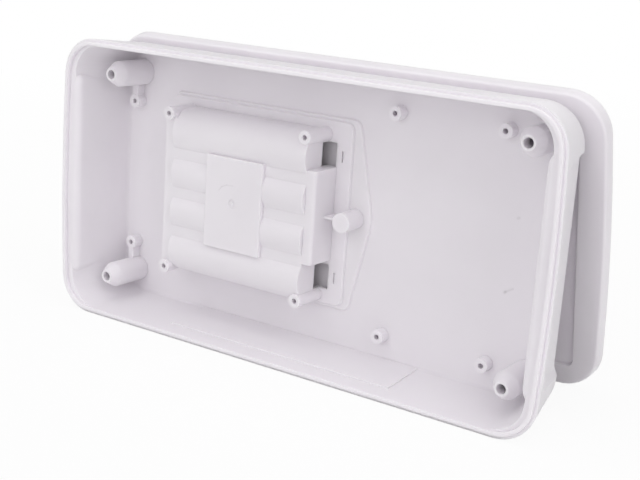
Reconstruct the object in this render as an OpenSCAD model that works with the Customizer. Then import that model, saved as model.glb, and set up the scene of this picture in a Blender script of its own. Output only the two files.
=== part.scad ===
// Open two-part instrument case with a moulded four-cell battery bay, its halves stood on edge

/* [Case] */
// Length of the case over its bowed ends
case_l = 207.2; // [196:0.1:225]
// Width of the case at the parting line
case_w = 107; // [104:0.1:118]
// Radius of the four corners in plan
corner_r = 14.1; // [11:0.1:16]
// How far each end bows out between its corners
end_bow = 1.7; // [0.8:0.1:2.4]
// Height of the base from its back to the shoulder of its rim
base_h = 29.1; // [28:0.1:34]
// Thickness of the base floor
floor_t = 2.5; // [2.3:0.1:3]
// Draft of the long sides in degrees
side_draft = 4.2; // [3:0.1:5]
// Draft of the end faces in degrees
end_draft = 10.9; // [8:0.1:12]
// Radius of the edge between the walls and the back
back_r = 5; // [3:0.1:6]
// Radius where the inside walls meet the floor
foot_r = 1.2; // [0.8:0.1:1.6]
// Extra thickness of the end walls below the tongue
end_extra = 2.2; // [1.6:0.1:2.6]

/* [Rim] */
// Width of the shoulder that the cover's lip rests on
shoulder_w = 1.1; // [0.9:0.1:1.3]
// Thickness of the tongue inside the shoulder
tongue_t = 1.35; // [1.2:0.05:1.6]
// Height of the tongue above the shoulder
tongue_h = 1.3; // [1:0.1:1.6]
// Side clearance between the tongue and the cover's lip
tongue_gap = 0.15; // [0.1:0.05:0.25]

/* [End grips] */
// Length of the grip recess across each end face
grip_w = 74.8; // [66:0.1:80]
// Reach of the recess's sloping ends under the rim flange
grip_slope = 6.4; // [4:0.1:7]
// Depth of the grip recess under the rim flange
grip_d = 3.7; // [3:0.1:4]
// Height of the rim flange above the grip recess
flange_h = 3.1; // [2.5:0.1:4]
// Draft of the grip recess in degrees
grip_draft = 8.3; // [6:0.1:9]
// Thickness of the wall behind the grip recess at its top
grip_wall = 4.1; // [3.6:0.1:4.4]
// Draft of the stepped end wall inside in degrees
step_draft = 1.4; // [1:0.1:2]
// Depth of the stepped wall's top below the shoulder
step_drop = 0.4; // [0.4:0.1:1]
// Radius of the stepped wall's inner edge
step_edge_r = 2.6; // [2:0.1:3]

/* [Case screws] */
// Distance of the case screws from the ends
screw_x_in = 17.24; // [16.5:0.1:19]
// Distance of the case screws from the long sides
screw_y_in = 13.5; // [13:0.1:15]
// Clearance hole for a case screw
screw_d = 3.45; // [3:0.05:3.6]
// Diameter of the recess for the screw's head
screw_head_d = 6; // [5.5:0.1:6.4]
// Depth below the shoulder at which the base's bosses end
screw_boss_drop = 7.7; // [7:0.1:9]
// Outer diameter of a case screw boss
screw_boss_d = 9.8; // [9:0.1:10]
// Outer diameter of the boss at its tip
screw_tip_d = 5; // [4.8:0.1:5.6]
// Length of the cone below the tip
screw_cone_h = 3.6; // [3:0.1:5]

/* [Board bosses] */
// Outer diameter of a board boss
board_boss_d = 5; // [4.5:0.1:6]
// Height of a board boss above the floor
board_boss_h = 4.3; // [3:0.1:6]
// Pilot hole in a board boss
board_hole_d = 1.9; // [1.6:0.05:2.2]
// Distance of the left board bosses from the left end
board_left_in = 16.3; // [15.5:0.1:18]
// Half the spacing of the left board bosses
board_left_y = 28.7; // [26:0.1:30]
// Distance of the middle board bosses from the right end
board_mid_in = 73.1; // [68:0.1:76]
// Distance of the right board bosses from the right end
board_right_in = 31.9; // [30:0.1:36]

/* [Battery bay] */
// Diameter of one cell
cell_d = 14.5; // [14.2:0.1:14.6]
// Spacing of the cells
cell_pitch = 14.9; // [14.7:0.1:15.1]
// Play around each cell
cell_play = 0.25; // [0.2:0.05:0.3]
// Length inside the bay for a cell and its contacts
bay_l = 57.5; // [55:0.5:60]
// Distance of the bay's middle from the left end
bay_mid_in = 76.45; // [75:0.05:78]
// How far the bay sits below the middle of the case
bay_drop = 1.05; // [0.5:0.05:1.5]
// Thickness of the bay's moulded walls
bay_wall = 1.5; // [1.3:0.1:1.8]
// Height of the flat filling between the ridges, above the cells' axes
valley_h = 7.2; // [6.6:0.1:7.4]
// Length of the flat platform before the ridges' left ends
platform_l = 4.5; // [4:0.1:5]
// Half the spacing of the bosses at the bay's corners
bay_boss_y = 29.64; // [29:0.01:30.2]
// Length of the contact block past the bay's right end
block_l = 4; // [3.8:0.1:4.4]
// Width of each contact window
window_w = 3.6; // [3.2:0.1:4]
// Height of the gap under the bay's end wall beside each window
gap_top_z = 5.4; // [5:0.1:7]

/* [Battery door] */
// Width of the battery door
door_w = 66; // [64:0.5:68]
// Margin of the door past the bay's left end
door_left = 11.6; // [11:0.1:12.4]
// Margin of the door past the bay's right end
door_right = 12.1; // [11.5:0.1:12.6]
// Length of the blunt tab that carries the door's screw
door_tab = 7.2; // [6.8:0.1:8]
// Radius of the tab's tip
tab_r = 24; // [10:1:30]
// Thickness of the door's panel
door_t = 1.6; // [1.4:0.1:1.8]
// Height of the rim that seats the door
door_rim = 0.6; // [0.4:0.1:0.8]
// Gap around the door
door_gap = 0.25; // [0.2:0.05:0.35]
// Core diameter of the door's screw
door_screw_d = 2.2; // [2:0.1:2.4]
// Length of the door's screw under its head
door_screw_l = 9; // [7:0.5:9.5]
// Outer diameter of the door screw's boss
door_boss_d = 7; // [6.4:0.1:7.2]

/* [Cover] */
// Height of the cover's face above its rim
cover_h = 4.5; // [4:0.1:5]
// Radius of the edge around the cover's face
cover_edge_r = 0.9; // [0.6:0.1:1.6]
// Border between the case's long sides and the cover's sunk field
field_in_y = 8.4; // [7:0.1:9]
// Border between the case's ends and the cover's sunk field
field_in_x = 10.4; // [9:0.1:12]
// Depth of the sunk field
field_d = 1.2; // [0.8:0.1:1.4]
// Depth of the cover's hollow behind its rim
cover_hollow = 1.5; // [1.3:0.1:1.6]
// Outer diameter of the cover's screw bosses
cover_boss_d = 6.6; // [6:0.1:7.4]
// Pilot hole in the cover's screw bosses
cover_hole_d = 2.5; // [2.3:0.05:2.8]

/* [Standing] */
// Lean of the cover towards the viewer in degrees
cover_lean = 8.7; // [7:0.1:10]
// Gap between the cover and the base where they lean together
lean_gap = 0.2; // [0.1:0.05:0.3]

/* [Hidden] */
$fn = 48;
shell_color = [0.93, 0.93, 0.92];
eps = 0.02;
over = 3;

// Heights in a case half's own frame: 0 is the inner floor, the opening faces up
back_z = -floor_t;
rim_z = base_h - floor_t;
wall_t = shoulder_w + tongue_t;

// Case screws and board bosses
screw_x = case_l/2 - screw_x_in;
screw_y = case_w/2 - screw_y_in;
screw_tip_z = rim_z - screw_boss_drop;
screw_collar = 0.7;
// Depth of the head's seat below the cone's foot
screw_seat_drop = 1.5;
screw_seat_z = screw_tip_z - screw_cone_h - screw_seat_drop;
board_row_y = screw_y;
board_left_x = board_left_in - case_l/2;
board_places = [
    [board_left_x, board_left_y], [board_left_x, -board_left_y],
    [case_l/2 - board_mid_in, board_row_y], [case_l/2 - board_mid_in, -board_row_y],
    [case_l/2 - board_right_in, board_row_y], [case_l/2 - board_right_in, -board_row_y]
];

// Battery door, its recess and the raised slab inside that covers the recess
bay_mid_x = bay_mid_in - case_l/2;
bay_x0 = bay_mid_x - bay_l/2;
bay_x1 = bay_mid_x + bay_l/2;
slab_z = 1.7;
slab_low_z = 0.8;
slab_border = 1.6;
slab_slope = 0.4;
door_seat_gap = 0.1;
ledge_z = back_z + door_t + door_rim + door_seat_gap;
door_x0 = bay_x0 - door_left;
door_x1 = bay_x1 + door_right;
door_outline = [
    [door_x0, -door_w/2], [door_x1, -door_w/2], [door_x1 + door_tab, 0],
    [door_x1, door_w/2], [door_x0, door_w/2]
];
door_corners = [2, 2, tab_r, 2, 2];
// Distance of the door's screw from the tab's tip
door_screw_in = 4.9;
door_screw_x = door_x1 + door_tab - door_screw_in;
// Room for the screw's tip and the closed end above it
door_boss_cap = 4.1;
door_boss_z = door_screw_l + back_z + door_boss_cap;
rib_t = 0.8;
rib_drop = 2.8;
rib_z = door_boss_z - rib_drop;
hook_w = 8;
hook_rows = [-18, 18];
hook_t = 0.7;
// Reach of a hook past the door's left edge, and of its slot past the recess
hook_out = 1.6;
hook_slot_out = 2.2;
hook_play = 0.2;

// Cells
cell_r = cell_d/2 + cell_play;
ridge_r = cell_r + bay_wall;
// Room between the door's panel and the cells
cell_over_door = 0.5;
cell_z = back_z + door_t + cell_r + cell_over_door;
cell_rows = [for (i = [-1.5 : 1.5]) i*cell_pitch - bay_drop];
bay_end_x = bay_x1 + bay_wall;
bay_start_x = bay_x0 - bay_wall;
bay_half_w = 1.5*cell_pitch + ridge_r;
crest_z = cell_z + ridge_r;
valley_z = cell_z + valley_h;
// Margins of the raised panel: from the bay's ends, and past the two middle cells' axes
panel_in = [17.2, 17.9];
panel_past = [9.5, 10];
panel_rise = 0.12;
panel_x = [bay_start_x + panel_in[0], bay_end_x - panel_in[1]];
panel_y = [cell_rows[1] - panel_past[0], cell_rows[2] + panel_past[1]];
panel_z = crest_z + panel_rise;
// Bosses at the bay's corners: outside its left end, inside its right end, just below the ridges
bay_boss_out = 2.3;
bay_boss_in = 1.1;
bay_boss_drop = 0.4;
bay_boss_x = [bay_start_x - bay_boss_out, bay_end_x - bay_boss_in];
bay_boss_z = crest_z - bay_boss_drop;
bay_pilot_h = 6;
// Contact block: its reach below and above the third cell's axis
block_past = [23.25, 10.73];
block_x1 = bay_end_x + block_l;
block_y = [cell_rows[2] - block_past[0], cell_rows[2] + block_past[1]];
window_half = 4.7;
// Blind slits beside the windows
slit_out = 5.9;
slit_l = 4;
slit_w = 0.5;
slit_d = 1.2;
slit_x = bay_end_x + slit_out;

// Shallow pad inside the lower long wall
pad_x = [-51, 46];
pad_z = 20.5;
pad_t = 0.5;

// Gate mark on the bay's panel
gate = [-27.7, -0.3];

// Standing pose: the base rests on its drafted long side, the cover leans against it
base_lean = side_draft;
base_lift = case_w/2*cos(base_lean) - rim_z*sin(base_lean);
edge_y = case_w/2 - (rim_z - back_z - back_r)*tan(side_draft) - back_r;
edge_z = back_z + back_r;
cover_lift = case_w/2*cos(cover_lean)
    + (cover_h - cover_edge_r)*(sin(cover_lean) - tan(side_draft)*cos(cover_lean));
edge_depth = edge_y*sin(base_lean) - edge_z*cos(base_lean);
edge_height = edge_y*cos(base_lean) + edge_z*sin(base_lean) + base_lift - cover_lift;
cover_depth = edge_depth
    + (back_r + lean_gap + cover_h + edge_height*sin(cover_lean))/cos(cover_lean);
front_y = -(case_w/2 - wall_t)*sin(base_lean) - (rim_z + tongue_h)*cos(base_lean);
boss_reach = screw_boss_drop - 0.1;
hind_y = cover_depth + (screw_y + cover_boss_d/2)*sin(cover_lean) + boss_reach*cos(cover_lean);
mid_y = (front_y + hind_y)/2;

// Points along an arc, both ends included
function arc(cx, cy, r, a0, a1, n) =
    [for (i = [0 : n]) let (a = a0 + (a1 - a0)*i/n) [cx + r*cos(a), cy + r*sin(a)]];

function tail(pts) = [for (i = [1 : len(pts) - 1]) pts[i]];
function head(pts) = [for (i = [0 : len(pts) - 2]) pts[i]];

// Plan outline of the case moved in from its ends and sides, its corners tangent to the bows
function case_outline(in_x, in_y, in_r) =
    let (
        hw = case_w/2 - in_y,
        r = corner_r - in_r,
        bow_r = (hw*hw + end_bow*end_bow)/(2*end_bow),
        bow_x = case_l/2 - in_x - bow_r,
        cy = hw - r,
        cx = bow_x + sqrt(pow(bow_r - r, 2) - cy*cy),
        a = asin(cy/(bow_r - r))
    )
    concat(
        arc(bow_x, 0, bow_r, -a, a, 10),
        tail(arc(cx, cy, r, a, 90, 10)),
        arc(-cx, cy, r, 90, 180 - a, 10),
        tail(arc(-bow_x, 0, bow_r, 180 - a, 180 + a, 10)),
        tail(arc(-cx, -cy, r, 180 + a, 270, 10)),
        head(arc(cx, -cy, r, 270, 360 - a, 10))
    );

// Rectangle with round corners
function block_outline(x0, x1, y0, y1, r) =
    concat(
        arc(x1 - r, y1 - r, r, 0, 90, 5),
        arc(x0 + r, y1 - r, r, 90, 180, 5),
        arc(x0 + r, y0 + r, r, 180, 270, 5),
        arc(x1 - r, y0 + r, r, 270, 360, 5)
    );

// Where two lines meet, each given by a point and a direction
function meet(p, u, q, v) =
    p + u*((q[0] - p[0])*v[1] - (q[1] - p[1])*v[0])/(u[0]*v[1] - u[1]*v[0]);

// Convex outline grown by d on every side, drawn counter-clockwise
function grown(pts, d) =
    let (n = len(pts))
    [for (i = [0 : n - 1])
        let (
            u = pts[i] - pts[(i + n - 1)%n],
            v = pts[(i + 1)%n] - pts[i],
            p = pts[i] + [u[1], -u[0]]*d/norm(u),
            q = pts[i] + [v[1], -v[0]]*d/norm(v)
        )
        meet(p, u, q, v)];

// Convex outline with each corner rounded, to one radius or to a list of them
function eased(pts, radii) =
    let (n = len(pts))
    [for (i = [0 : n - 1])
        let (
            r = is_list(radii) ? radii[i] : radii,
            u = (pts[i] - pts[(i + n - 1)%n])/norm(pts[i] - pts[(i + n - 1)%n]),
            v = (pts[(i + 1)%n] - pts[i])/norm(pts[(i + 1)%n] - pts[i]),
            turn = acos(u*v),
            a0 = atan2(-u[0], u[1]),
            c = pts[i] - u*r*tan(turn/2) + [-u[1], u[0]]*r
        )
        each arc(c[0], c[1], r, a0, a0 + turn, 4)];

function at_z(pts, z) = [for (p = pts) [p[0], p[1], z]];

// Solid through rings of equal point counts, from the lowest ring to the highest
module loft(rings) {
    n = len(rings[0]);
    m = len(rings);
    polyhedron(
        points = [for (ring = rings) each ring],
        faces = concat(
            [[for (i = [0 : n - 1]) i]],
            [for (k = [0 : m - 2], i = [0 : n - 1])
                [k*n + i, k*n + n + i, k*n + n + (i + 1)%n, k*n + (i + 1)%n]],
            [[for (i = [0 : n - 1]) m*n - 1 - i]]
        ),
        convexity = 8
    );
}

module both_ends() {
    children();
    mirror([1, 0, 0]) children();
}

module at_corners() {
    for (sx = [-1, 1], sy = [-1, 1]) {
        translate([sx*screw_x, sy*screw_y, 0]) children();
    }
}

// Ring of the base's outside at height z, moved in by e at a rounded edge
function outer_ring(z, e) =
    at_z(case_outline((rim_z - z)*tan(end_draft) + e, (rim_z - z)*tan(side_draft) + e, e), z);

// Ring of the base's inside at height z, its ends moved in by the given extra
function inner_ring(z, e, extra) =
    let (fall = max(rim_z - z, 0))
    at_z(case_outline(wall_t + extra + fall*tan(end_draft) + e,
        wall_t + fall*tan(side_draft) + e, wall_t + e), z);

module base_outside() {
    loft(concat(
        [for (i = [0 : 5]) let (a = 90*i/5)
            outer_ring(back_z + back_r*(1 - cos(a)), back_r*(1 - sin(a)))],
        [outer_ring(rim_z, 0)]
    ));
}

module rim_tongue() {
    tip = 0.25;
    lip = shoulder_w;
    loft([
        at_z(case_outline(lip, lip, lip), rim_z - 1),
        at_z(case_outline(lip, lip, lip), rim_z + tongue_h - tip),
        at_z(case_outline(lip + tip, lip + tip, lip + tip), rim_z + tongue_h)
    ]);
}

// Stepped end wall that stands behind the grip recess
module grip_step() {
    top_z = rim_z - step_drop;
    top_x = case_l/2 - grip_d - grip_wall;
    // The step stands a little past the recess on each side, and its top edge stays clear of its corners
    step_past = 0.5;
    corner_past = 2.4;
    half = grip_w/2 + wall_t + step_past;
    corner = step_edge_r + corner_past;
    function step_ring(z, e) =
        at_z(block_outline(top_x - (top_z - z)*tan(step_draft) + e, case_l/2 + over + e,
            e - half, half - e, corner - e), z);
    loft(concat(
        [step_ring(-over, 0)],
        [for (i = [0 : 6]) let (a = 90*i/6)
            step_ring(top_z - step_edge_r*(1 - sin(a)), step_edge_r*(1 - cos(a)))]
    ));
}

// Hollow between the walls, wider at its ends above the end walls' tops
module base_inside() {
    top_z = rim_z - step_drop;
    difference() {
        union() {
            loft(concat(
                [for (i = [0 : 4]) let (a = 90*i/4)
                    inner_ring(foot_r*(1 - cos(a)), foot_r*(1 - sin(a)), end_extra)],
                [inner_ring(top_z + 0.2, 0, end_extra)]
            ));
            loft([inner_ring(top_z, 0, 0), inner_ring(rim_z, 0, 0),
                inner_ring(rim_z + tongue_h + over, 0, 0)]);
        }
        both_ends() grip_step();
    }
}

// Recess in the outside of each end face, open at the back, its ends sloping out to the face
module grip_recess() {
    top_z = rim_z - flange_h;
    top_x = case_l/2 - grip_d;
    // The floor of the recess bends inwards at this height above the back
    bend_h = 6.5;
    bend_slope = 0.32;
    bend_z = back_z + bend_h;
    bend_x = top_x - (top_z - bend_z)*tan(grip_draft);
    out_x = case_l/2 + over;
    // Share of the sloping ends' reach at the back and at the bend, and the depth they take there
    back_share = 0.22;
    bend_share = 0.3;
    slope_depth = 2.3;
    bend_depth = 1.4;
    // Ring whose sloping ends reach the given length in over the given depth
    function recess_ring(x, z, reach, depth) =
        let (
            half = grip_w/2 - reach,
            out = half + (out_x - x)*reach/depth
        )
        at_z(eased([[x, -half], [out_x, -out], [out_x, out], [x, half]], 3), z);
    loft([
        recess_ring(bend_x - (bend_h + 1)*bend_slope, back_z - 1, grip_slope*back_share, slope_depth),
        recess_ring(bend_x, bend_z, grip_slope*bend_share, bend_depth),
        recess_ring(top_x, top_z, grip_slope, slope_depth)
    ]);
}

// Boss for a case screw, its head recess and its hole
module screw_boss() {
    wide_z = screw_tip_z - screw_cone_h - screw_collar;
    translate([0, 0, -1]) cylinder(d = screw_boss_d, h = wide_z + 1);
    translate([0, 0, wide_z])
        cylinder(d1 = screw_boss_d, d2 = screw_boss_d - screw_collar, h = screw_collar);
    translate([0, 0, wide_z + screw_collar])
        cylinder(d1 = screw_boss_d - screw_collar, d2 = screw_tip_d, h = screw_cone_h);
}

module screw_passage() {
    translate([0, 0, back_z - 1]) cylinder(d = screw_head_d, h = screw_seat_z - back_z + 1);
    translate([0, 0, screw_seat_z - 1]) cylinder(d = screw_d, h = screw_tip_z - screw_seat_z + 2);
}

module board_bosses() {
    for (p = board_places) {
        translate([p[0], p[1], -1]) cylinder(d = board_boss_d, h = board_boss_h + 1);
    }
    // Webs that tie the left board bosses to the case screw bosses
    web_t = 2.4;
    web_drop = 0.3;
    for (sy = [-1, 1]) {
        translate([board_left_x - web_t/2, sy > 0 ? board_left_y : -screw_y, -1])
            cube([web_t, screw_y - board_left_y, board_boss_h + 1 - web_drop]);
    }
}

module board_pilots() {
    for (p = board_places) {
        translate([p[0], p[1], -1]) cylinder(d = board_hole_d, h = board_boss_h + 2);
    }
}

// Raised slab inside the base, over the door's recess: the door's shape with a flat on top
module door_slab() {
    slab_r = 3;
    corners = [slab_r, slab_r, tab_r, slab_r, slab_r];
    foot = eased(grown(door_outline, slab_border + slab_slope), corners);
    flat_in_x = 0.8;
    flat_in_y = 1.2;
    flat_x1 = door_x1 - flat_in_x;
    flat_y = door_w/2 + slab_border - flat_in_y;
    flat = [
        [door_x0 - slab_border, -flat_y], [flat_x1, -flat_y], [flat_x1, flat_y],
        [door_x0 - slab_border, flat_y]
    ];
    loft([
        at_z(foot, -1),
        at_z(foot, 0),
        at_z(eased(grown(door_outline, slab_border), corners), slab_low_z)
    ]);
    loft([
        at_z(eased(grown(flat, slab_slope), slab_r), slab_low_z - 0.5),
        at_z(eased(grown(flat, slab_slope), slab_r), slab_low_z),
        at_z(eased(flat, slab_r), slab_z)
    ]);
}

// Outside of the moulded battery bay: four ridges, their filling, the platform and the contact block
module bay_outside() {
    bay_span = bay_end_x - bay_start_x;
    block_r = 1.2;
    for (y = cell_rows) {
        translate([bay_start_x, y, cell_z]) rotate([0, 90, 0]) cylinder(r = ridge_r, h = bay_span);
    }
    translate([bay_start_x, -bay_half_w - bay_drop, -1])
        cube([bay_span, 2*bay_half_w, cell_z + 1]);
    translate([bay_start_x, cell_rows[0], 0])
        cube([bay_span, cell_rows[3] - cell_rows[0], valley_z]);
    translate([bay_start_x - platform_l, -bay_boss_y - bay_drop, -1])
        cube([platform_l + 0.5, 2*bay_boss_y, valley_z + 1]);
    // Flat raised panel over the two middle ridges
    translate([panel_x[0], panel_y[0], cell_z])
        cube([panel_x[1] - panel_x[0], panel_y[1] - panel_y[0], panel_z - cell_z]);
    // Contact block with a rounded top edge
    translate([0, block_y[1], 0])
        rotate([90, 0, 0])
            linear_extrude(height = block_y[1] - block_y[0])
                polygon(concat(
                    [[bay_end_x - 2, -1], [block_x1, -1]],
                    arc(block_x1 - block_r, valley_z - block_r, block_r, 0, 90, 5),
                    [[bay_end_x - 2, valley_z]]
                ));
    // Board bosses at the bay's corners
    for (x = bay_boss_x, sy = [-1, 1]) {
        translate([x, sy*bay_boss_y - bay_drop, 0]) cylinder(d = board_boss_d, h = bay_boss_z);
    }
}

module bay_inside() {
    for (y = cell_rows) {
        translate([bay_x0, y, cell_z]) rotate([0, 90, 0]) cylinder(r = cell_r, h = bay_l);
    }
    translate([bay_x0, cell_rows[0] - cell_r, back_z - 1])
        cube([bay_l, 3*cell_pitch + 2*cell_r, cell_z - back_z + 1]);
    // Hollow under the platform
    hollow_past = 2;
    translate([bay_start_x - platform_l + bay_wall, cell_rows[0] - hollow_past, back_z - 1])
        cube([platform_l - bay_wall, 3*cell_pitch + 2*hollow_past, valley_z - bay_wall - back_z + 1]);
    // Contact chamber in the block
    translate([bay_x1 - 1, block_y[0] + bay_wall, back_z - 1])
        cube([block_x1 - bay_wall - bay_x1 + 1, block_y[1] - block_y[0] - 2*bay_wall,
            valley_z - bay_wall - back_z + 1]);
}

module bay_pilots() {
    for (x = bay_boss_x, sy = [-1, 1]) {
        translate([x, sy*bay_boss_y - bay_drop, bay_boss_z - bay_pilot_h])
            cylinder(d = board_hole_d, h = bay_pilot_h + 1);
    }
}

// Contact windows beside the ends of the outer ridges, each with a gap under the bay's end wall
module contact_windows() {
    for (span = [[cell_rows[0] - window_half, cell_rows[0] + window_half],
                 [block_y[1] + 0.1, cell_rows[3] + window_half]]) {
        width = span[1] - span[0];
        translate([bay_end_x - eps, span[0], ledge_z - 1])
            cube([window_w + eps, width, slab_z - ledge_z + 2]);
        translate([bay_x1 - 1, span[0], ledge_z - 1])
            cube([bay_wall + 1, width, gap_top_z - ledge_z + 1]);
    }
    // Blind slits beside the windows
    for (y = [cell_rows[0], cell_rows[3]]) {
        translate([slit_x, y - slit_l/2, slab_z - slit_d]) cube([slit_w, slit_l, slit_d + 0.8]);
    }
}

module door_boss() {
    rib_x0 = block_x1 - 0.5;
    translate([door_screw_x, 0, ledge_z]) cylinder(d = door_boss_d, h = door_boss_z - ledge_z);
    translate([rib_x0, -rib_t/2, 0]) cube([door_screw_x - rib_x0, rib_t, rib_z]);
}

// Shallow pad inside the lower long wall
module wall_pad() {
    function wall_y(z) = case_w/2 - wall_t - (rim_z - z)*tan(side_draft);
    function pad_ring(z) = [
        [pad_x[0], -wall_y(z) - 1, z], [pad_x[1], -wall_y(z) - 1, z],
        [pad_x[1], pad_t - wall_y(z), z], [pad_x[0], pad_t - wall_y(z), z]
    ];
    loft([pad_ring(-1), pad_ring(pad_z)]);
}

// Shallow dimple with a nub in its middle
module gate_mark(nub) {
    dimple_d = 3.4;
    dimple_h = 0.3;
    nub_d = 1.2;
    nub_h = 0.35;
    translate([gate[0], gate[1], panel_z - dimple_h])
        cylinder(d = nub ? nub_d : dimple_d, h = nub ? nub_h : dimple_h + 0.7);
}

module base_local() {
    difference() {
        union() {
            difference() {
                union() {
                    base_outside();
                    rim_tongue();
                }
                base_inside();
                both_ends() grip_recess();
            }
            at_corners() screw_boss();
            board_bosses();
            door_slab();
            wall_pad();
            difference() {
                bay_outside();
                gate_mark(false);
            }
            gate_mark(true);
            door_boss();
        }
        at_corners() screw_passage();
        board_pilots();
        bay_pilots();
        bay_inside();
        contact_windows();
        // Recess for the door, and the pilot hole for its screw
        translate([0, 0, back_z - 1])
            linear_extrude(height = ledge_z - back_z + 1) polygon(eased(door_outline, door_corners));
        translate([door_screw_x, 0, back_z]) cylinder(d = door_screw_d + 0.1, h = door_screw_l + 3);
        // Slots for the door's hooks
        for (y = hook_rows) {
            translate([door_x0 - hook_slot_out, y - hook_w/2 - hook_play, ledge_z - hook_t - hook_play])
                cube([3, hook_w + 2*hook_play, hook_t + hook_play]);
        }
    }
}

module door_local() {
    inside = grown(door_outline, -door_gap);
    rim_t = 1.4;
    through_d = door_screw_d + 0.7;
    sink_d = 5.2;
    sink_h = 1.3;
    difference() {
        union() {
            translate([0, 0, back_z])
                linear_extrude(height = door_t) polygon(eased(inside, door_corners));
            translate([0, 0, back_z + door_t - eps])
                linear_extrude(height = door_rim + eps)
                    difference() {
                        polygon(eased(inside, door_corners));
                        polygon(eased(grown(inside, -rim_t), 0.8));
                    }
            translate([door_screw_x, 0, back_z])
                cylinder(d = door_boss_d, h = door_t + door_rim);
            for (y = hook_rows) {
                translate([door_x0 - hook_out, y - hook_w/2, ledge_z - hook_t - hook_play/2])
                    cube([3, hook_w, hook_t]);
            }
        }
        translate([door_screw_x, 0, back_z - 1]) cylinder(d = through_d, h = 6);
        translate([door_screw_x, 0, back_z - eps]) cylinder(d1 = sink_d, d2 = through_d, h = sink_h);
    }
}

// Screw with a countersunk head, a cross drive and a short point
module screw_local() {
    head_d = 4.8;
    head_h = 1.3;
    drive_l = 2.6;
    drive_w = 0.6;
    drive_d = 0.7;
    point_d = 0.6;
    point_l = 1;
    translate([door_screw_x, 0, back_z + 0.1]) {
        difference() {
            cylinder(d1 = head_d, d2 = door_screw_d, h = head_h);
            for (a = [0, 90]) {
                rotate([0, 0, a]) translate([-drive_l/2, -drive_w/2, -1])
                    cube([drive_l, drive_w, drive_d + 1]);
            }
        }
        translate([0, 0, head_h - 0.1]) cylinder(d = door_screw_d, h = door_screw_l - point_l - head_h + 0.1);
        translate([0, 0, door_screw_l - point_l]) cylinder(d1 = door_screw_d, d2 = point_d, h = point_l);
    }
}

// Ring of the cover's outside at height z, moved in by e
function cover_ring(z, e) =
    at_z(case_outline(z*tan(side_draft) + e, z*tan(side_draft) + e, e), z);

module cover_local() {
    lip = shoulder_w - tongue_gap;
    field_x = case_l/2 - field_in_x;
    field_y = case_w/2 - field_in_y;
    field_r = 2.5;
    // The field's sides slope out by this much from its floor to half a millimetre above the face
    field_slope = 0.6;
    difference() {
        union() {
            difference() {
                loft(concat(
                    [cover_ring(0, 0)],
                    [for (i = [0 : 5]) let (a = 90*i/5)
                        cover_ring(cover_h - cover_edge_r*(1 - sin(a)), cover_edge_r*(1 - cos(a)))]
                ));
                loft([
                    at_z(case_outline(lip, lip, lip), -1),
                    at_z(case_outline(lip, lip, lip), cover_hollow)
                ]);
                loft([
                    at_z(block_outline(-field_x, field_x, -field_y, field_y, field_r), cover_h - field_d),
                    at_z(block_outline(-field_x - field_slope, field_x + field_slope,
                        -field_y - field_slope, field_y + field_slope, field_r + field_slope),
                        cover_h + 0.5)
                ]);
            }
            at_corners() translate([0, 0, -boss_reach])
                cylinder(d = cover_boss_d, h = boss_reach + cover_hollow + 0.5);
        }
        at_corners() translate([0, 0, -boss_reach - 1])
            cylinder(d = cover_hole_d, h = boss_reach + cover_hollow + 0.5);
    }
}

module stand_base() {
    translate([0, -mid_y, base_lift]) rotate([90 - base_lean, 0, 0]) children();
}

module stand_cover() {
    translate([0, cover_depth - mid_y, cover_lift]) rotate([90 + cover_lean, 0, 0]) children();
}

module base_shell() {
    color(shell_color) stand_base() base_local();
}

module cover_shell() {
    color(shell_color) stand_cover() cover_local();
}

module battery_door() {
    color(shell_color) stand_base() door_local();
}

module door_screw() {
    color([0.72, 0.73, 0.75]) stand_base() screw_local();
}

base_shell();
cover_shell();
battery_door();
door_screw();
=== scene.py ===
"""Open two-part plastic case: the deep base stands on its long side and the cover leans behind it."""
import math

import bmesh
import bpy
from mathutils import Matrix, Vector


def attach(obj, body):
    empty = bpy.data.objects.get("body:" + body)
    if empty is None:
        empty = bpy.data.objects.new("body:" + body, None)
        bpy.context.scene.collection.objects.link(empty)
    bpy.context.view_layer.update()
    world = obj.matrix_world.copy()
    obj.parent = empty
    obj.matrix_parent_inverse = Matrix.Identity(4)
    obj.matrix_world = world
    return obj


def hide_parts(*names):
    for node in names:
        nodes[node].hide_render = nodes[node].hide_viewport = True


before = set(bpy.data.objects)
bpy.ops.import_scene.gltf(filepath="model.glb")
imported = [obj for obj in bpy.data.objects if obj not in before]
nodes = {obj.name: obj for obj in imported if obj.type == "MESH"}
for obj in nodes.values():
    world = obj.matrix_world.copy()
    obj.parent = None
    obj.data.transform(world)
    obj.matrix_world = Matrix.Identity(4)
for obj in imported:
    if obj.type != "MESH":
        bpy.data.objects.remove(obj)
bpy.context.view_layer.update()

mm = 0.001
scene = bpy.context.scene


# Materials

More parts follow.
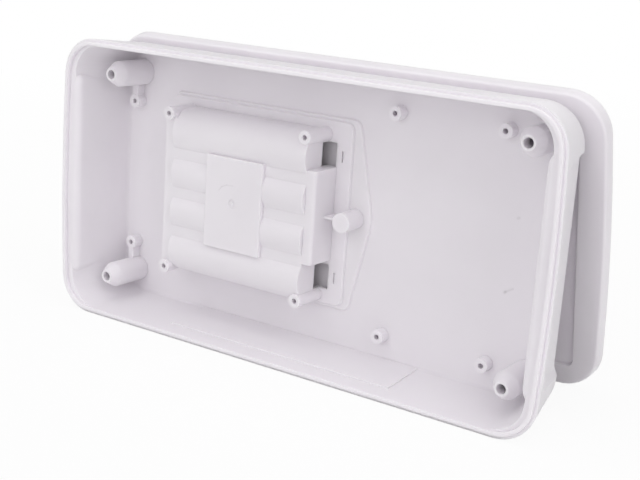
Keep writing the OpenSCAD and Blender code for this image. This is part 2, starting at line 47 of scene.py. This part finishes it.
class Shader:
    """A node material with short calls for its nodes and links."""

    def __init__(self, name):
        self.material = bpy.data.materials.new(name)
        self.material.use_nodes = True
        self.tree = self.material.node_tree
        self.tree.nodes.clear()
        self.out = self.node("ShaderNodeOutputMaterial")

    def node(self, kind, **settings):
        made = self.tree.nodes.new(kind)
        for key, value in settings.items():
            setattr(made, key, value)
        return made

    def link(self, source, target):
        self.tree.links.new(source, target)

    def place(self):
        return self.node("ShaderNodeTexCoord").outputs["Object"]

    def noise(self, where, scale, detail=2.0, rough=0.5):
        made = self.node("ShaderNodeTexNoise")
        made.inputs["Scale"].default_value = scale
        made.inputs["Detail"].default_value = detail
        made.inputs["Roughness"].default_value = rough
        self.link(where, made.inputs["Vector"])
        return made.outputs["Fac"]

    def mapped(self, value, low, high, to_low, to_high):
        made = self.node("ShaderNodeMapRange")
        made.inputs["From Min"].default_value = low
        made.inputs["From Max"].default_value = high
        made.inputs["To Min"].default_value = to_low
        made.inputs["To Max"].default_value = to_high
        self.link(value, made.inputs["Value"])
        return made.outputs["Result"]

    def blend(self, factor, first, second):
        made = self.node("ShaderNodeMix", data_type="RGBA")
        made.inputs["A"].default_value = (*first, 1)
        made.inputs["B"].default_value = (*second, 1)
        self.link(factor, made.inputs["Factor"])
        return made.outputs["Result"]

    def vector(self, operation, first, second):
        """Vector maths between a linked vector and a written one."""
        made = self.node("ShaderNodeVectorMath", operation=operation)
        self.link(first, made.inputs[0])
        made.inputs[1].default_value = second
        return made.outputs["Value" if operation == "DOT_PRODUCT" else "Vector"]

    def beside(self, where, start, end):
        """Distance from a short straight line between two points."""
        along = Vector(end) - Vector(start)
        offset = self.vector("SUBTRACT", where, start)
        share = self.mapped(self.vector("DOT_PRODUCT", offset, along/along.length_squared), 0, 1, 0, 1)
        step = self.node("ShaderNodeVectorMath", operation="SCALE")
        step.inputs[0].default_value = along
        self.link(share, step.inputs["Scale"])
        rest = self.node("ShaderNodeVectorMath", operation="DISTANCE")
        self.link(offset, rest.inputs[0])
        self.link(step.outputs["Vector"], rest.inputs[1])
        return rest.outputs["Value"]

    def scuffed(self, colour, where, marks, scuff):
        """The colour with small straight marks on it, each faded out at its sides."""
        for start, end, width, depth in marks:
            mark = self.node("ShaderNodeMix", data_type="RGBA")
            self.link(self.mapped(self.beside(where, start, end), width*0.3, width, depth, 0),
                      mark.inputs["Factor"])
            self.link(colour, mark.inputs["A"])
            mark.inputs["B"].default_value = (*scuff, 1)
            colour = mark.outputs["Result"]
        return colour

    def bump(self, height, strength, distance, normal=None):
        made = self.node("ShaderNodeBump")
        made.inputs["Strength"].default_value = strength
        made.inputs["Distance"].default_value = distance
        self.link(height, made.inputs["Height"])
        if normal:
            self.link(normal, made.inputs["Normal"])
        return made.outputs["Normal"]

    def surface(self, **numbers):
        made = self.node("ShaderNodeBsdfPrincipled")
        for key, value in numbers.items():
            made.inputs[key.replace("_", " ")].default_value = value
        self.link(made.outputs["BSDF"], self.out.inputs["Surface"])
        return made


def case_plastic(name, marks=()):
    """Matt off-white moulding with a faint tone drift, a fine grain, rounded edges and any small marks.

    Light scatters a little way under the surface, so thin ribs and edges look soft.
    """
    dull, bright = (0.842, 0.812, 0.848), (0.868, 0.838, 0.874)
    scuff = (0.34, 0.32, 0.33)
    drift_scale, sheen_scale, grain_scale = 22, 60, 2600
    edge_r, sink_depth, grain_depth = 0.18*mm, 0.4*mm, 0.05*mm

    made = Shader(name)
    place = made.place()
    drift = made.noise(place, drift_scale, 3)
    sheen = made.noise(place, sheen_scale, 4)
    grain = made.noise(place, grain_scale, 3, 0.6)
    surface = made.surface(
        IOR=1.49,
        Subsurface_Weight=1.0,
        Subsurface_Scale=1.2*mm,
        Subsurface_Radius=(1, 1, 1)
    )
    colour = made.blend(made.mapped(drift, 0.35, 0.65, 0, 1), dull, bright)
    made.link(made.scuffed(colour, place, marks, scuff), surface.inputs["Base Color"])
    made.link(made.mapped(sheen, 0.3, 0.7, 0.46, 0.58), surface.inputs["Roughness"])
    rounded = made.node("ShaderNodeBevel", samples=6)
    rounded.inputs["Radius"].default_value = edge_r
    sink = made.bump(drift, 0.25, sink_depth, rounded.outputs["Normal"])
    made.link(made.bump(grain, 0.35, grain_depth, sink), surface.inputs["Normal"])
    return made.material


def zinc(name):
    """Bright plating with fine cloudy patches in its colour and its gloss."""
    made = Shader(name)
    place = made.place()
    surface = made.surface(Metallic=1.0)
    made.link(made.blend(made.noise(place, 900, 3), (0.62, 0.63, 0.65), (0.72, 0.72, 0.73)),
              surface.inputs["Base Color"])
    made.link(made.mapped(made.noise(place, 1500, 4), 0.3, 0.7, 0.28, 0.42), surface.inputs["Roughness"])
    return made.material


def at(x, y, z):
    return x*mm, y*mm, z*mm


# Each mark's two ends, its width and how strongly it shows
floor_marks = [
    (at(77.5, 0.8, 63.1), at(77.9, 0.8, 63.3), 0.7*mm, 0.16),
    (at(75.6, -1.1, 37.4), at(75.9, -1.1, 37.7), 0.7*mm, 0.25),
    (at(75.8, -1.1, 37.6), at(78.5, -1.0, 39.3), 0.5*mm, 0.16)
]
bay_scratch = [
    (at(-34, -15.9, 56.4), at(-32.6, -15.8, 58), 0.35*mm, 0.14),
    (at(-32.6, -15.8, 58), at(-30.4, -15.7, 58.9), 0.35*mm, 0.14),
    (at(-30.4, -15.7, 58.9), at(-27.6, -15.7, 59), 0.35*mm, 0.1)
]
plastic = case_plastic("off_white_moulding")
base_plastic = case_plastic("off_white_base", floor_marks + bay_scratch)
steel = zinc("bright_zinc_plate")


# Pieces

def finished(node, name, material):
    """A CAD moulding with its corners joined, so that its curved walls shade smoothly."""
    join, crease = 0.001*mm, math.radians(28)
    mesh = nodes[node].data.copy()
    mesh.name = name
    work = bmesh.new()
    work.from_mesh(mesh)
    bmesh.ops.remove_doubles(work, verts=work.verts, dist=join)
    for face in work.faces:
        face.smooth = True
    for edge in work.edges:
        edge.smooth = len(edge.link_faces) == 2 and edge.calc_face_angle(0) < crease
    work.to_mesh(mesh)
    work.free()
    mesh.materials.clear()
    mesh.materials.append(material)
    piece = bpy.data.objects.new(name, mesh)
    scene.collection.objects.link(piece)
    weighted = piece.modifiers.new("even_normals", "WEIGHTED_NORMAL")
    weighted.keep_sharp = True
    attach(piece, "root")
    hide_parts(node)


finished("base_shell", "base_moulding", base_plastic)
finished("cover_shell", "cover_moulding", plastic)
finished("battery_door", "door_moulding", plastic)
finished("door_screw", "door_fastener", steel)


# Floor, light and camera

def white_floor(name):
    """A pale floor that stays near white for the camera and still takes the shadow."""
    near, far, near_glow = 0.12, 0.6, 0.92

    made = Shader(name)
    place = made.place()
    length = made.node("ShaderNodeVectorMath", operation="LENGTH")
    made.link(place, length.inputs[0])
    diffuse = made.node("ShaderNodeBsdfDiffuse")
    made.link(made.blend(made.noise(place, 40), (0.86, 0.86, 0.86), (0.88, 0.88, 0.88)),
              diffuse.inputs["Color"])
    glow = made.node("ShaderNodeEmission")
    path = made.node("ShaderNodeLightPath")
    seen = made.node("ShaderNodeMath", operation="MAXIMUM")
    made.link(path.outputs["Is Camera Ray"], seen.inputs[0])
    made.link(path.outputs["Is Glossy Ray"], seen.inputs[1])
    share = made.node("ShaderNodeMath", operation="MULTIPLY")
    made.link(seen.outputs["Value"], share.inputs[0])
    made.link(made.mapped(length.outputs["Value"], near, far, near_glow, 1), share.inputs[1])
    mix = made.node("ShaderNodeMixShader")
    made.link(share.outputs["Value"], mix.inputs["Fac"])
    made.link(diffuse.outputs["BSDF"], mix.inputs[1])
    made.link(glow.outputs["Emission"], mix.inputs[2])
    made.link(mix.outputs["Shader"], made.out.inputs["Surface"])
    return made.material


def studio_floor():
    mesh = bpy.data.meshes.new("studio_floor")
    work = bmesh.new()
    bmesh.ops.create_grid(work, x_segments=4, y_segments=4, size=4)
    work.to_mesh(mesh)
    work.free()
    mesh.materials.append(white_floor("studio_white"))
    floor = bpy.data.objects.new("studio_floor", mesh)
    scene.collection.objects.link(floor)


def studio_room(ambient):
    """An even white room: the camera sees it at full white, and it lights the case at the ambient level."""
    world = bpy.data.worlds.new("studio")
    scene.world = world
    world.use_nodes = True
    tree = world.node_tree
    sky = tree.nodes["Background"]
    path = tree.nodes.new("ShaderNodeLightPath")
    level = tree.nodes.new("ShaderNodeMapRange")
    level.inputs["To Min"].default_value = ambient
    level.inputs["To Max"].default_value = 1.0
    tree.links.new(path.outputs["Is Camera Ray"], level.inputs["Value"])
    tree.links.new(level.outputs["Result"], sky.inputs["Strength"])
    sky.inputs["Color"].default_value = (1, 1, 1, 1)


def outward(azimuth, elevation):
    """Direction away from the case: azimuth 0 is the viewer's side, 90 the case's right end."""
    turn, rise = math.radians(azimuth), math.radians(elevation)
    return Vector((math.sin(turn)*math.cos(rise), -math.cos(turn)*math.cos(rise), math.sin(rise)))


def softbox(name, azimuth, elevation, watts):
    """A square studio lamp that faces the case."""
    aim, distance, side = Vector((0, 0, 0.05)), 1.6, 1.2
    away = outward(azimuth, elevation)
    lamp = bpy.data.lights.new(name, "AREA")
    lamp.shape = "SQUARE"
    lamp.size, lamp.energy = side, watts
    holder = bpy.data.objects.new(name, lamp)
    holder.location = aim + away*distance
    holder.rotation_euler = (-away).to_track_quat("-Z", "Y").to_euler()
    scene.collection.objects.link(holder)


def photo_camera():
    """The photograph's viewing angle: round to the right, a little above, and rolled by a degree or so."""
    aim, distance = Vector(at(14.202, -20.446, 48.139)), 410.21*mm
    roll = math.radians(-1.5483)
    back = outward(33.7826, 17.9491)
    level_right = Vector((0, 0, 1)).cross(back).normalized()
    level_up = back.cross(level_right)
    up = level_up*math.cos(roll) + level_right*math.sin(roll)
    right = up.cross(back)
    turned = Matrix((right, up, back)).transposed().to_4x4()
    camera = bpy.data.objects.new("photo_camera", bpy.data.cameras.new("photo_camera"))
    camera.data.lens = 67.061
    camera.data.sensor_width = 36
    camera.data.clip_start = 0.01
    camera.matrix_world = Matrix.Translation(aim + back*distance) @ turned
    scene.collection.objects.link(camera)
    scene.camera = camera


studio_floor()
studio_room(ambient=0.4)
softbox("low_front_lamp", 0, 12, 3.8)
softbox("front_lamp", 0, 35, 3.9)
softbox("right_lamp", 72, 35, 6.6)
softbox("high_left_lamp", 300, 62, 3.5)
softbox("top_lamp", 0, 90, 4.6)
softbox("low_back_lamp", 180, 10, 5)
photo_camera()
scene.view_settings.view_transform = "Standard"
